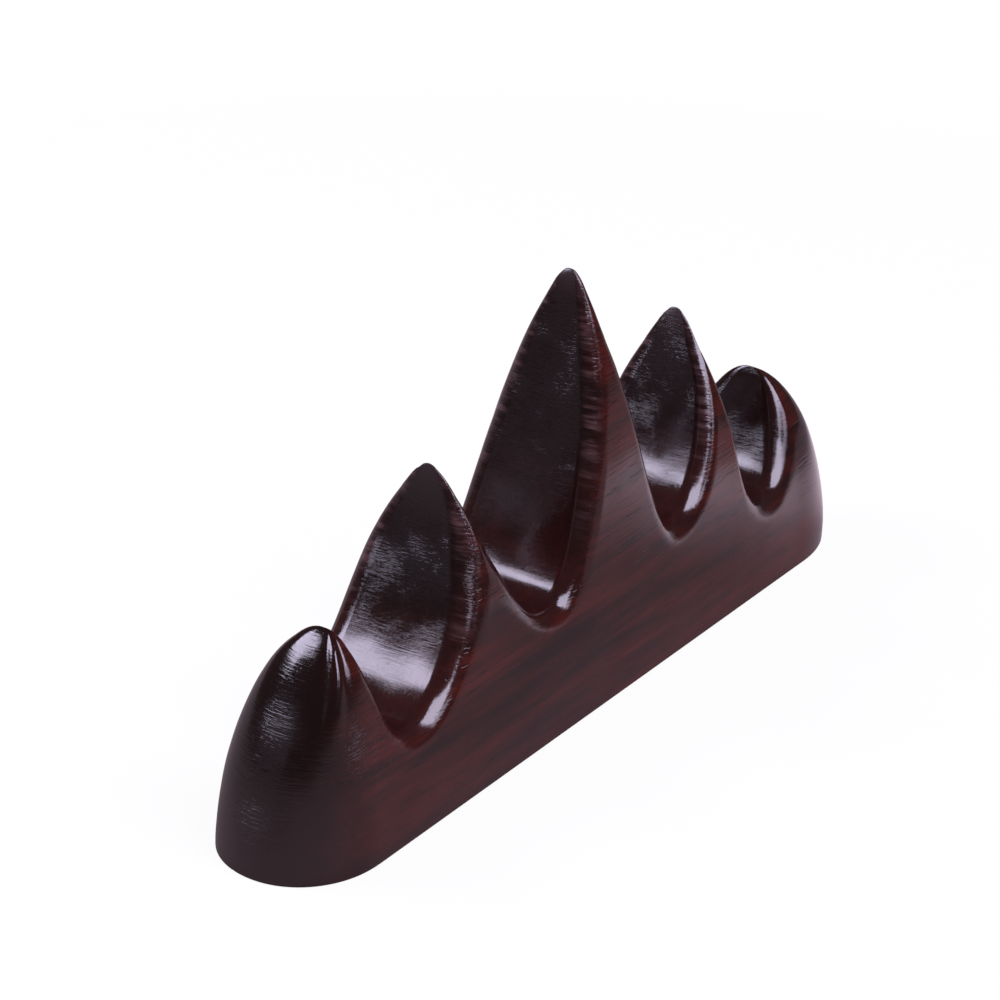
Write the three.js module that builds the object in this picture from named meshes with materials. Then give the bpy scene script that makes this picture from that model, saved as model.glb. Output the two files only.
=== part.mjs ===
// Mountain-shaped rest for calligraphy brushes, carved from one block of dark hardwood.
//
// Five peaks stand in a row on one body. Brushes lie across the row, front to back, in the
// four saddles between the peaks. Sizes are in millimetres and angles in degrees. +X runs
// along the row, +Y runs from the front to the back and +Z is up. The origin is the middle
// of the flat base.

import * as THREE from 'three';
import { mergeVertices } from 'three/addons/utils/BufferGeometryUtils.js';

// Body
const bodyWidth = 23.0;
const baseChamfer = 0.25;

// Steps along the row, from the left end over the five tips to the right end
const leftEndReach = 13.15;
const pitchOneToTwo = 25.75;
const pitchTwoToThree = 31.2;
const pitchThreeToFour = 32.25;
const pitchFourToFive = 21.95;
const rightEndReach = 15.7;

// Heights of the tips above the base
const heightOne = 31.7;
const heightTwo = 44.85;
const heightThree = 62.65;
const heightFour = 46.3;
const heightFive = 29.4;

// How far the hand-carved tips stand off the middle plane, towards the back when positive
const leanOne = -1.9;
const leanTwo = 0.35;
const leanThree = -0.7;
const leanFour = 1.15;
const leanFive = 0.15;

// Heights of the saddle floors, and where each one lies on the way between its two tips
const saddleOneHeight = 15.7;
const saddleTwoHeight = 20.2;
const saddleThreeHeight = 20.9;
const saddleFourHeight = 14.45;
const saddleOneShare = 0.356;
const saddleTwoShare = 0.525;
const saddleThreeShare = 0.523;
const saddleFourShare = 0.554;

// Flanks: the angle just under the tip, how far the tip's curve holds that angle, and how
// far the level floor of the saddle runs before it turns up
const endTipAngle = 53.2;
const endTipReach = 2.4;
const endFloorReach = 5.95;
const twoOuterTipAngle = 88;
const twoOuterTipReach = 13.8;
const twoOuterFloorReach = 8.05;
const twoInnerTipAngle = 70.4;
const twoInnerTipReach = 10.3;
const twoInnerFloorReach = 9.9;
const centreTipAngle = 61.6;
const centreTipReach = 3.7;
const centreFloorReach = 7.5;
const fourInnerTipAngle = 75.7;
const fourInnerTipReach = 11.1;
const fourInnerFloorReach = 8.45;
const fourOuterTipAngle = 83.6;
const fourOuterTipReach = 3.0;
const fourOuterFloorReach = 10.8;

// Front and back faces: they draw in towards the tips as 1 - s^power, raised to a second
// power, where s is the height as a share of the peak's height
const tipWidth = 1.4;
const endDrawPower = 1.71;
const twoDrawPower = 3.99;
const threeDrawPower = 3.48;
const fourDrawPower = 3.38;
const middleRoundPower = 0.915;
const endRoundPower = 0.492;

// Radii of the arrises: round the saddles, on the end peaks, and on the front and the back of
// the three middle peaks. The front of peak two and the back of peak three are eased the most.
const saddleArrisRadius = 3.4;
const endArrisRadius = 2.0;
const frontArrisRadiusTwo = 4.2;
const backArrisRadiusTwo = 2.6;
const frontArrisRadiusThree = 2.7;
const backArrisRadiusThree = 4.5;
const frontArrisRadiusFour = 2.0;
const backArrisRadiusFour = 2.6;

// Shares of a peak's height between which a saddle's arris becomes the peak's own
const arrisChangeStartShare = 0.5;
const arrisChangeEndShare = 0.85;

// An arris takes at most this share of the half width
const widestArrisShare = 0.45;

// The rows of corners round an arris spread out on a steep flank, up to this slope as rise
// over run, and up to this share of the height
const steepestSlopeRatio = 6;
const tallestArrisShare = 0.6;

// End domes: the same kind of curve carries the outermost line up to the tip, and the plan
// is an ellipse drawn slightly square, more so towards the tip
const domeDrawPower = 1.5;
const domeRoundPower = 0.67;
const basePlanPower = 2.06;
const tipPlanPower = 2.57;

// A soft ridge runs down the front corner of the left end: its height, its bearing from the
// end and its spread to each side, and the shares of the height where it starts, is full and
// fades again
const ridgeHeight = 0.8;
const ridgeAngle = 49;
const ridgeSpreadAngle = 18;
const ridgeStartShare = 0.35;
const ridgeFullShare = 0.7;
const ridgeFadeShare = 0.94;

// How finely the curved surfaces are divided
const stepsPerFlank = 14;
const stepsUpSide = 8;
const stepsRoundArris = 6;
const stepsRoundDome = 18;

// Peaks and saddles

function placePeaks() {
  const pitches = [pitchOneToTwo, pitchTwoToThree, pitchThreeToFour, pitchFourToFive];
  const heights = [heightOne, heightTwo, heightThree, heightFour, heightFive];
  const leans = [leanOne, leanTwo, leanThree, leanFour, leanFive];
  const drawPowers = [endDrawPower, twoDrawPower, threeDrawPower, fourDrawPower, endDrawPower];
  const frontRadii = [
    endArrisRadius,
    frontArrisRadiusTwo,
    frontArrisRadiusThree,
    frontArrisRadiusFour,
    endArrisRadius,
  ];
  const backRadii = [
    endArrisRadius,
    backArrisRadiusTwo,
    backArrisRadiusThree,
    backArrisRadiusFour,
    endArrisRadius,
  ];
  const last = heights.length - 1;
  const rowLength = pitches.reduce((sum, pitch) => sum + pitch, leftEndReach + rightEndReach);
  let x = leftEndReach - rowLength / 2;
  return heights.map((height, i) => {
    if (i > 0) x += pitches[i - 1];
    return {
      x,
      height,
      lean: leans[i],
      drawPower: drawPowers[i],
      roundPower: i === 0 || i === last ? endRoundPower : middleRoundPower,
      frontRadius: frontRadii[i],
      backRadius: backRadii[i],
    };
  });
}

const peaks = placePeaks();

function placeSaddles() {
  const heights = [saddleOneHeight, saddleTwoHeight, saddleThreeHeight, saddleFourHeight];
  const shares = [saddleOneShare, saddleTwoShare, saddleThreeShare, saddleFourShare];
  return heights.map((height, i) => ({
    x: THREE.MathUtils.lerp(peaks[i].x, peaks[i + 1].x, shares[i]),
    height,
  }));
}

const saddles = placeSaddles();

// Flank shapes, from the end peaks to the centre
const endFlank = { angle: endTipAngle, tip: endTipReach, floor: endFloorReach };
const twoOuterFlank = { angle: twoOuterTipAngle, tip: twoOuterTipReach, floor: twoOuterFloorReach };
const twoInnerFlank = { angle: twoInnerTipAngle, tip: twoInnerTipReach, floor: twoInnerFloorReach };
const centreFlank = { angle: centreTipAngle, tip: centreTipReach, floor: centreFloorReach };
const fourInnerFlank = {
  angle: fourInnerTipAngle,
  tip: fourInnerTipReach,
  floor: fourInnerFloorReach,
};
const fourOuterFlank = {
  angle: fourOuterTipAngle,
  tip: fourOuterTipReach,
  floor: fourOuterFloorReach,
};

// One flank of the outline, from a tip down to the saddle beside it
function flankCurve(peak, saddle, shape) {
  const run = saddle.x - peak.x;
  const drop = peak.height - saddle.height;
  const angle = THREE.MathUtils.degToRad(shape.angle);
  const tipReach = Math.min(shape.tip, drop / Math.sin(angle));
  const floorReach = Math.min(shape.floor, Math.abs(run));
  const tip = new THREE.Vector2(peak.x, peak.height);
  const underTip = new THREE.Vector2(
    peak.x + Math.sign(run) * tipReach * Math.cos(angle),
    peak.height - tipReach * Math.sin(angle),
  );
  const besideFloor = new THREE.Vector2(saddle.x - Math.sign(run) * floorReach, saddle.height);
  const floor = new THREE.Vector2(saddle.x, saddle.height);
  return new THREE.CubicBezierCurve(tip, underTip, besideFloor, floor);
}

// The outline from the first tip to the last, as places with a height and a slope
function outlineStations() {
  const flanks = [
    { peak: 0, saddle: 0, shape: endFlank },
    { peak: 1, saddle: 0, shape: twoOuterFlank },
    { peak: 1, saddle: 1, shape: twoInnerFlank },
    { peak: 2, saddle: 1, shape: centreFlank },
    { peak: 2, saddle: 2, shape: centreFlank },
    { peak: 3, saddle: 2, shape: fourInnerFlank },
    { peak: 3, saddle: 3, shape: fourOuterFlank },
    { peak: 4, saddle: 3, shape: endFlank },
  ];
  const places = [];
  flanks.forEach((flank, f) => {
    const curve = flankCurve(peaks[flank.peak], saddles[flank.saddle], flank.shape);
    const downhill = flank.saddle === flank.peak;
    for (let i = f === 0 ? 0 : 1; i <= stepsPerFlank; i += 1) {
      const t = downhill ? i / stepsPerFlank : 1 - i / stepsPerFlank;
      const point = curve.getPoint(t);
      const tangent = curve.getTangent(t);
      const slope = Math.min(Math.abs(tangent.y / tangent.x), steepestSlopeRatio);
      places.push({ x: point.x, height: point.y, slope });
    }
  });
  return places;
}

const stations = outlineStations();

// The outline as straight steps from station to station
const outlineSteps = stations.slice(1).map((station, i) => new THREE.Line3(
  new THREE.Vector3(stations[i].x, 0, stations[i].height),
  new THREE.Vector3(station.x, 0, station.height),
));

// Sections across the row

// What a place along the row takes from the two peaks beside it
function surroundings(x) {
  let i = 0;
  while (i < peaks.length - 2 && x > peaks[i + 1].x) i += 1;
  const share = THREE.MathUtils.smoothstep(x, peaks[i].x, peaks[i + 1].x);
  const between = (size) => THREE.MathUtils.lerp(peaks[i][size], peaks[i + 1][size], share);
  return {
    height: between('height'),
    lean: between('lean'),
    drawPower: between('drawPower'),
    roundPower: between('roundPower'),
    frontRadius: between('frontRadius'),
    backRadius: between('backRadius'),
  };
}

// A height as a share of the way from the top of the base's chamfer to a tip's height
function heightShare(z, tipHeight) {
  return THREE.MathUtils.clamp((z - baseChamfer) / (tipHeight - baseChamfer), 0, 1);
}

// What is left of a face's reach, from 1 at the base to 0 at the tip
function drawnIn(share, drawPower, roundPower) {
  return (1 - share ** drawPower) ** roundPower;
}

// Half the width of the body at a height, before the arris is rounded
function halfWidth(z, around) {
  const share = heightShare(z, around.height);
  const left = drawnIn(share, around.drawPower, around.roundPower);
  return THREE.MathUtils.lerp(tipWidth, bodyWidth, left) / 2;
}

// The middle plane's shift at a height: none at the base, all of the lean at the tip
function leanShift(z, around) {
  return around.lean * (z / around.height) ** 2;
}

// The arris's radius at a height, between the saddle's and the peak's own
function arrisRadius(z, around, peakRadius) {
  const start = arrisChangeStartShare * around.height;
  const end = arrisChangeEndShare * around.height;
  const share = THREE.MathUtils.clamp((z - start) / (end - start), 0, 1);
  return THREE.MathUtils.lerp(saddleArrisRadius, peakRadius, share);
}

// How far a place on a face lies from the outline, seen from the front
function outlineDistance(x, z) {
  const place = new THREE.Vector3(x, 0, z);
  const nearest = new THREE.Vector3();
  return outlineSteps.reduce((least, step) => {
    step.closestPointToPoint(place, true, nearest);
    return Math.min(least, nearest.distanceTo(place));
  }, Infinity);
}

// How far the rounding of an arris draws a face in at a distance from the outline
function arrisInset(distance, radius) {
  if (distance >= radius) return 0;
  return radius - Math.sqrt(radius ** 2 - (radius - distance) ** 2);
}

// Half of one section, from the base's edge up the side and round the arris to the top
function halfSection(station, around, peakRadius) {
  const { x, height, slope } = station;
  const radius = arrisRadius(height, around, peakRadius);
  const rise = Math.min(radius * Math.hypot(1, slope), tallestArrisShare * height);
  const sideTop = height - rise;
  const facePoint = (z) => {
    const width = halfWidth(z, around);
    const limit = widestArrisShare * width;
    const inset = arrisInset(outlineDistance(x, z), Math.min(radius, limit));
    return { y: width - inset, z };
  };
  const points = [facePoint(baseChamfer)];
  points.unshift({ y: points[0].y - baseChamfer, z: 0 });
  for (let i = 1; i <= stepsUpSide; i += 1) {
    points.push(facePoint(THREE.MathUtils.lerp(baseChamfer, sideTop, i / stepsUpSide)));
  }
  for (let i = 1; i <= stepsRoundArris; i += 1) {
    const turn = (Math.PI / 2) * (i / stepsRoundArris);
    points.push(facePoint(sideTop + rise * Math.sin(turn)));
  }
  return points.map(({ y, z }) => ({ y, z, shift: leanShift(z, around) }));
}

// Bearings of a dome's meridians from its end, turning from the front to the back
const meridianTurns = Array.from(
  { length: stepsRoundDome + 1 },
  (_, i) => Math.PI * (i / stepsRoundDome - 1 / 2),
);

// The squared ellipse of a dome's plan: its reach along and across the row at a bearing
function planPlace(turn, planPower) {
  const along = Math.abs(Math.cos(turn)) ** (2 / planPower);
  const across = Math.sign(turn) * Math.abs(Math.sin(turn)) ** (2 / planPower);
  return { along, across };
}

// A whole section as a row of corners, front base edge to back base edge. Its level top has
// corners where a dome's meridians would meet it.
function section(station) {
  const { x, height } = station;
  const around = surroundings(x);
  const front = halfSection(station, around, around.frontRadius);
  const back = halfSection(station, around, around.backRadius);
  const frontEdge = front[front.length - 1].y;
  const backEdge = back[back.length - 1].y;
  const top = meridianTurns.slice(1, -1).map((turn) => {
    const { across } = planPlace(turn, tipPlanPower);
    const y = across * (across < 0 ? frontEdge : backEdge);
    return new THREE.Vector3(x, leanShift(height, around) + y, height);
  });
  return [
    ...front.map(({ y, z, shift }) => new THREE.Vector3(x, shift - y, z)),
    ...top,
    ...back.map(({ y, z, shift }) => new THREE.Vector3(x, shift + y, z)).reverse(),
  ];
}

// How far the left end's ridge stands out at a bearing, in degrees from the end, and a height
function ridgeRise(bearing, share) {
  const away = THREE.MathUtils.clamp(Math.abs(bearing + ridgeAngle) / ridgeSpreadAngle, 0, 1);
  const growing = (share - ridgeStartShare) / (ridgeFullShare - ridgeStartShare);
  const fading = (1 - share) / (1 - ridgeFadeShare);
  const full = THREE.MathUtils.clamp(growing, 0, 1) * THREE.MathUtils.clamp(fading, 0, 1);
  return ridgeHeight * full * (1 - away ** 2) ** 2;
}

// One end dome as meridians from the base to the tip, turning from the front to the back
function domeMeridians(station, peak, reach, direction) {
  const side = halfSection(station, surroundings(station.x), endArrisRadius);
  return meridianTurns.map((turn) => side.map(({ y, z, shift }) => {
    const share = heightShare(z, peak.height);
    const planPower = THREE.MathUtils.lerp(basePlanPower, tipPlanPower, share);
    const { along, across } = planPlace(turn, planPower);
    const left = drawnIn(share, domeDrawPower, domeRoundPower);
    const edge = z === 0 ? reach - baseChamfer : reach * left;
    const rise = direction < 0 ? ridgeRise(THREE.MathUtils.radToDeg(turn), share) : 0;
    const x = peak.x + direction * (edge * along + rise * Math.cos(turn));
    return new THREE.Vector3(x, shift + y * across + rise * Math.sin(turn), z);
  }));
}

// Surface

// The triangles of a grid of corners, left out where two of their corners fall together
function gridTriangles(rows) {
  const triangles = [];
  for (let i = 0; i + 1 < rows.length; i += 1) {
    for (let j = 0; j + 1 < rows[i].length; j += 1) {
      triangles.push([rows[i][j], rows[i + 1][j], rows[i + 1][j + 1]]);
      triangles.push([rows[i][j], rows[i + 1][j + 1], rows[i][j + 1]]);
    }
  }
  return triangles;
}

// The flat underside of a dome, fanned out from the corner where its meridians begin
function fanTriangles(rim) {
  const triangles = [];
  for (let i = 1; i + 1 < rim.length; i += 1) {
    triangles.push([rim[0], rim[i], rim[i + 1]]);
  }
  return triangles;
}

function turnedOver(triangles) {
  return triangles.map(([a, b, c]) => [a, c, b]);
}

function solidGeometry(triangles) {
  const positions = triangles.flatMap((corners) => corners.flatMap((corner) => corner.toArray()));
  const soup = new THREE.BufferGeometry();
  soup.setAttribute('position', new THREE.Float32BufferAttribute(positions, 3));
  const merged = mergeVertices(soup);
  const index = merged.index.array;
  const kept = [];
  for (let i = 0; i < index.length; i += 3) {
    const [a, b, c] = [index[i], index[i + 1], index[i + 2]];
    if (a !== b && b !== c && c !== a) kept.push(a, b, c);
  }
  merged.setIndex(kept);
  merged.computeVertexNormals();
  return merged;
}

function carvedRestGeometry() {
  const sections = stations.map(section);
  const last = stations.length - 1;
  const leftDome = domeMeridians(stations[0], peaks[0], leftEndReach, -1);
  const rightDome = domeMeridians(stations[last], peaks[peaks.length - 1], rightEndReach, 1);
  const underside = sections.map((row) => [row[row.length - 1], row[0]]);
  return solidGeometry([
    ...gridTriangles(sections),
    ...gridTriangles(underside),
    ...turnedOver(gridTriangles(leftDome)),
    ...gridTriangles(rightDome),
    ...fanTriangles(leftDome.map((meridian) => meridian[0])),
    ...turnedOver(fanTriangles(rightDome.map((meridian) => meridian[0]))),
  ]);
}

// Polished dark hardwood
const hardwood = new THREE.MeshStandardMaterial({ color: 0x2a1a1c, roughness: 0.35, metalness: 0 });

const carvedRest = new THREE.Mesh(carvedRestGeometry(), hardwood);
carvedRest.name = 'carved_rest';

const brushRest = new THREE.Group();
brushRest.add(carvedRest);

export default brushRest;
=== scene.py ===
"""Looks of a carved brush rest: one block of dark hardwood shaped as a row of five mountain peaks.

The sizes in the classes are millimetres and degrees. The meshes are written in metres, in the axes
of the frame: X along the row, Y to the back, Z up, with the origin in the middle of the flat base.
"""

import logging
import math
from dataclasses import dataclass
from enum import Enum
from functools import partialmethod

import bpy
import numpy as np
from mathutils import Matrix, Vector


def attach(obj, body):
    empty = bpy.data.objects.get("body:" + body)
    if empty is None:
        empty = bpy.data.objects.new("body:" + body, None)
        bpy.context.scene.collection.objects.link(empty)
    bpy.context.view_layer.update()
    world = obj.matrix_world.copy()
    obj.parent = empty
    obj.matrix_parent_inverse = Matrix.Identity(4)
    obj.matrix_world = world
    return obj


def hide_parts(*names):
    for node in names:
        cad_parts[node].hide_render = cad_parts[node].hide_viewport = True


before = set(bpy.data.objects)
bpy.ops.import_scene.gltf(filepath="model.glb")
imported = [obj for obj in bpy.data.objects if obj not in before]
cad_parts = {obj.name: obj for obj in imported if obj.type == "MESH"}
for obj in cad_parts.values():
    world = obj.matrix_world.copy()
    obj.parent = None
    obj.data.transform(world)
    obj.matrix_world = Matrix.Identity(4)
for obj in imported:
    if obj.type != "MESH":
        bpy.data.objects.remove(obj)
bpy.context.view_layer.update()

LOG = logging.getLogger("brush_rest")
MM = 0.001
# The mask on the middle tips makes them rougher and carries a painted highlight in the colour.
MASKS = ("flank", "nicked", "upper", "dome", "torn", "rubbed_and_highlit")
WHITE = (1.0, 1.0, 1.0, 1.0)
BLACK = (0.0, 0.0, 0.0, 1.0)
FACING_DOWN = -0.9
CREST_SPREAD = (0.7, 1.5)
LEAST_STEP = 1e-6

Colour = tuple[float, float, float]
Place = tuple[float, float, float]
Range = tuple[float, float]
Array = np.ndarray
Socket = bpy.types.NodeSocket
Tree = bpy.types.NodeTree


def eased(places: Array, knots: Array, values: Array) -> Array:
    """A value that eases from knot to knot and is level at each of them.

    Formula: between two knots the share t becomes t * t * (3 - 2 * t).

    Args:
        places: where the value is wanted.
        knots: rising places where it is known.
        values: the value at each knot.

    Returns:
        The value at each place.
    """
    left = np.clip(np.searchsorted(knots, places, side="right") - 1, 0, len(knots) - 2)
    share = np.clip((places - knots[left]) / (knots[left + 1] - knots[left]), 0.0, 1.0)
    share = share * share * (3.0 - 2.0 * share)
    return values[left] * (1.0 - share) + values[left + 1] * share


def climb(values: Array, span: Range) -> Array:
    """Shares that rise evenly from 0 at the span's start to 1 at its end."""
    return np.clip((values - span[0]) / (span[1] - span[0]), 0.0, 1.0)


def squarish(wave: Array, power: float | Array) -> Array:
    """A sine or cosine bent so that the two together draw a superellipse of that power."""
    return np.sign(wave) * np.abs(wave) ** (2.0 / power)


def in_scene(name: str, data: bpy.types.ID) -> bpy.types.Object:
    """Puts a new object into the scene.

    Args:
        name: its name.
        data: its mesh, lamp or camera.

    Returns:
        The object.
    """
    made = bpy.data.objects.new(name, data)
    bpy.context.scene.collection.objects.link(made)
    return made


def ripple(points: Array, wavelength: float, seed: int, waves: int = 9) -> Array:
    """A smooth uneven field, about -1 to 1, over points in space.

    Formula: the mean of several plane sine waves with seeded directions and phases, whose lengths
    lie near the one asked for, times half the root of twice their number.

    Args:
        points: rows of x, y, z in millimetres.
        wavelength: typical distance between two crests.
        seed: picks the waves.
        waves: how many waves are added.

    Returns:
        One number for each point.
    """
    rng = np.random.default_rng(seed)
    heads = rng.normal(size=(3, waves))
    heads /= np.linalg.norm(heads, axis=0)
    lengths = wavelength * rng.uniform(*CREST_SPREAD, waves)
    phases = rng.uniform(0.0, 2.0 * math.pi, waves)
    field = np.sin(points @ (heads * (2.0 * math.pi / lengths)) + phases)
    return field.mean(axis=1) * math.sqrt(2.0 * waves) * 0.5


class End(Enum):
    """The two ends of the row, by the sign of x."""

    LEFT = -1
    RIGHT = 1


@dataclass(frozen=True)
class Peak:
    """One peak: its place along the row, height, lean to the back, and how late it draws in.

    Then come the radii of its arrises at the front and at the back, and how far its sanded cap
    stands above the height.
    """

    place: float
    height: float
    lean: float
    draw_power: float
    front_radius: float
    back_radius: float
    cap: float


@dataclass(frozen=True)
class Saddle:
    """The floor between two peaks: its share of the way between them, and its height."""

    share: float
    height: float


@dataclass(frozen=True)
class Flank:
    """One flank as a cubic curve: its angle at the tip and the reach of both its handles."""

    tip_angle: float
    tip_reach: float
    floor_reach: float


END_FLANK = Flank(53.2, 2.4, 5.95)
TALL_FLANK = Flank(61.6, 3.7, 7.5)


def from_outline(line: Array, z: Array, reach: int) -> tuple[Array, Array]:
    """Nearest place on the outline to the points of all sections, in the plane of the row.

    Formula: the least distance to the straight steps between neighbouring stations.

    Args:
        line: rows of x and z, one for each station.
        z: heights, one row for each station.
        reach: how many stations to look at on both sides.

    Returns:
        The distances, and how far along the outline the nearest places lie, both like z.
    """
    own = np.arange(len(line))
    run = line_run(line)
    least, place = np.full(z.shape, np.inf), np.zeros(z.shape)
    for step in range(-reach, reach):
        start = np.clip(own + step, 0, len(line) - 2)
        way = line[start + 1] - line[start]
        dx, dz = line[:, :1] - line[start, :1], z - line[start, 1:]
        share = (dx * way[:, :1] + dz * way[:, 1:]) / (way**2).sum(axis=1)[:, None]
        share = np.clip(share, 0.0, 1.0)
        away = np.hypot(dx - share * way[:, :1], dz - share * way[:, 1:])
        along = run[start][:, None] + share * (run[start + 1] - run[start])[:, None]
        place = np.where(away < least, along, place)
        least = np.minimum(least, away)
    return least, place


def line_run(line: Array) -> Array:
    """Distance along a line of points, from its first point to each of them."""
    return np.concatenate([[0.0], np.cumsum(np.hypot(*np.diff(line, axis=0).T))])


@dataclass(frozen=True)
class Wave:
    """One kind of unevenness: its depth, the distance between crests, and its random seed."""

    depth: float
    length: float
    seed: int


@dataclass(frozen=True)
class Spot:
    """A spot where the surface differs from the rest: its middle and how far it reaches."""

    middle: Place
    reach: float

    def share(self, points: Array) -> Array:
        """How much each point belongs to the spot, as a bell curve round its middle."""
        away = np.linalg.norm(points - np.array(self.middle), axis=1)
        return np.exp(-((away / self.reach) ** 2))


@dataclass
class CarvedRest:
    """The whole rest: outline of peaks and saddles, drawn-in sections and two end domes.

    Each range gives the shares of the height, or the heights, between which something sets in.
    The file tore the long grain at the torn spots, and the middle tips are rubbed and carry a
    painted highlight.
    """

    peaks: tuple[Peak, ...] = (
        Peak(-56.85, 31.7, -1.9, 1.71, 2.0, 2.0, 0.0),
        Peak(-31.1, 44.85, 0.35, 3.99, 4.2, 2.6, 0.5),
        Peak(0.1, 62.65, -0.7, 3.48, 2.7, 4.5, 0.75),
        Peak(32.35, 46.3, 1.15, 3.38, 2.0, 2.6, 0.5),
        Peak(54.3, 29.4, 0.15, 1.71, 4.0, 2.5, 0.0),
    )
    saddles: tuple[Saddle, ...] = (
        Saddle(0.356, 15.7),
        Saddle(0.525, 20.2),
        Saddle(0.523, 20.9),
        Saddle(0.554, 14.45),
    )
    flanks: tuple[Flank, ...] = (
        END_FLANK,
        Flank(88.0, 13.8, 8.05),
        Flank(70.4, 10.3, 9.9),
        TALL_FLANK,
        TALL_FLANK,
        Flank(75.7, 11.1, 8.45),
        Flank(83.6, 3.0, 10.8),
        END_FLANK,
    )
    torn_spots: tuple[Spot, ...] = (
        Spot((-57.0, -10.0, 17.0), 6.0),
        Spot((-65.0, -1.1, 20.6), 3.5),
        Spot((-68.5, 0.0, 8.0), 4.0),
    )
    # Reach of each middle tip's spot, which is rougher and carries a painted highlight.
    rubbed_and_highlit_reach: float = 3.4
    length: float = 140.0
    width: float = 23.0
    tip_share: float = 0.0609
    middle_round_power: float = 0.915
    end_round_power: float = 0.492
    saddle_radius: float = 3.4
    arris_range: Range = (0.5, 0.85)
    widest_arris: float = 0.45
    tallest_arris: float = 0.6
    steepest_slope: float = 3.0
    dome_draw_power: float = 1.5
    dome_round_power: float = 0.67
    base_plan_power: float = 2.06
    tip_plan_power: float = 2.57
    ridge_angle: float = 49.0
    ridge_spread: float = 18.0
    ridge_height: float = 0.8
    ridge_range: Range = (0.35, 0.7)
    ridge_end_share: float = 0.06
    base_break: float = 0.25
    longest_handle: float = 0.9
    tip_rounding: float = 0.45
    tip_fade: float = 2.2
    cap_reach: float = 2.6
    crown: float = 0.5
    crown_reach: float = 1.1
    upper_range: Range = (0.45, 0.65)
    foot_range: Range = (0.6, 3.1)
    swells: tuple[Wave, ...] = (Wave(0.05, 17.0, 3), Wave(0.02, 6.0, 4))
    nicks: Wave = Wave(0.05, 1.6, 5)
    nick_floor: float = 0.1
    nick_stretch: float = 0.15
    sharp_angle: float = 38.0
    station_gap: float = 0.5
    flank_samples: int = 400
    tip_stations: int = 5
    near_stations: int = 70
    even_stations: int = 25
    side_rows: int = 36
    arris_rows: int = 12
    meridians: int = 48

    def outline(self) -> Array:
        """The line of the peaks and saddles seen from the front.

        Formula: each flank is a cubic curve whose first handle leaves the tip at the tip angle and
        whose last handle is level at the saddle floor. All flanks are laid end to end, spaced
        evenly by their length, and the corners at the tips are rounded by a running mean.

        Returns:
            Rows of x and z from the left tip to the right tip.
        """
        tips = [(p.place, p.height) for p in self.peaks]
        pairs = zip(tips, tips[1:], self.saddles)
        floors = [(a[0] + s.share * (b[0] - a[0]), s.height) for a, b, s in pairs]
        line = [np.array([tips[0]])]
        for number, flank in enumerate(self.flanks):
            tip = np.array(tips[(number + 1) // 2])
            floor = np.array(floors[number // 2])
            curve = self.flank_curve(tip, floor, flank)
            line.append((curve if number % 2 == 0 else curve[::-1])[1:])
        return self.rounded_tips(np.concatenate(line))

    def flank_curve(self, tip: Array, floor: Array, flank: Flank) -> Array:
        """One flank from its tip to its saddle floor, as evenly spaced points.

        Args:
            tip: x and z of the tip.
            floor: x and z of the saddle floor.
            flank: its angle and reaches.

        Returns:
            Rows of x and z.
        """
        way = math.copysign(1.0, floor[0] - tip[0])
        angle = math.radians(flank.tip_angle)
        longest = self.longest_handle * (tip[1] - floor[1]) / math.sin(angle)
        reach = min(flank.tip_reach, longest)
        first = tip + reach * np.array([way * math.cos(angle), -math.sin(angle)])
        last = floor - np.array([way * flank.floor_reach, 0.0])
        t = np.linspace(0.0, 1.0, self.flank_samples)[:, None]
        u = 1.0 - t
        fine = u**3 * tip + 3 * u * u * t * first + 3 * u * t * t * last + t**3 * floor
        run = line_run(fine)
        even = np.linspace(0.0, run[-1], round(run[-1] / self.station_gap) + 1)
        return np.stack([np.interp(even, run, fine[:, column]) for column in (0, 1)], axis=1)

    def rounded_tips(self, points: Array) -> Array:
        """The outline with the three middle tips sanded round.

        Formula: each point moves to the bell-weighted mean of its neighbours, whose spread is the
        tip rounding near a middle tip and fades to nothing a few millimetres away.

        Args:
            points: rows of x and z.

        Returns:
            The rounded rows.
        """
        reach = self.tip_stations
        offsets = np.arange(-reach, reach + 1)
        bell = np.exp(-0.5 * (offsets * self.station_gap / (2.0 * self.tip_rounding)) ** 2)
        bell /= bell.sum()
        padded = np.pad(points, ((reach, reach), (0, 0)), mode="edge")
        smooth = np.stack([np.convolve(padded[:, c], bell, mode="valid") for c in (0, 1)], axis=1)
        near = np.zeros(len(points))
        for peak in self.peaks[1:-1]:
            away = np.hypot(points[:, 0] - peak.place, points[:, 1] - peak.height)
            near = np.maximum(near, np.exp(-((away / self.tip_fade) ** 2)))
        return points + (smooth - points) * near[:, None]

    def drawn_in(self, share: Array, power: Array, round_power: Array) -> Array:
        """Half width as a share of the full half width.

        Formula: tip share + (1 - tip share) * (1 - share ** power) ** round power.

        Args:
            share: height as a share of the peaks' height there.
            power: how late the faces draw in.
            round_power: how round they end.

        Returns:
            The share of the half width.
        """
        left = 1.0 - np.clip(share, 0.0, 1.0) ** power
        return self.tip_share + (1.0 - self.tip_share) * left**round_power

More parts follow.
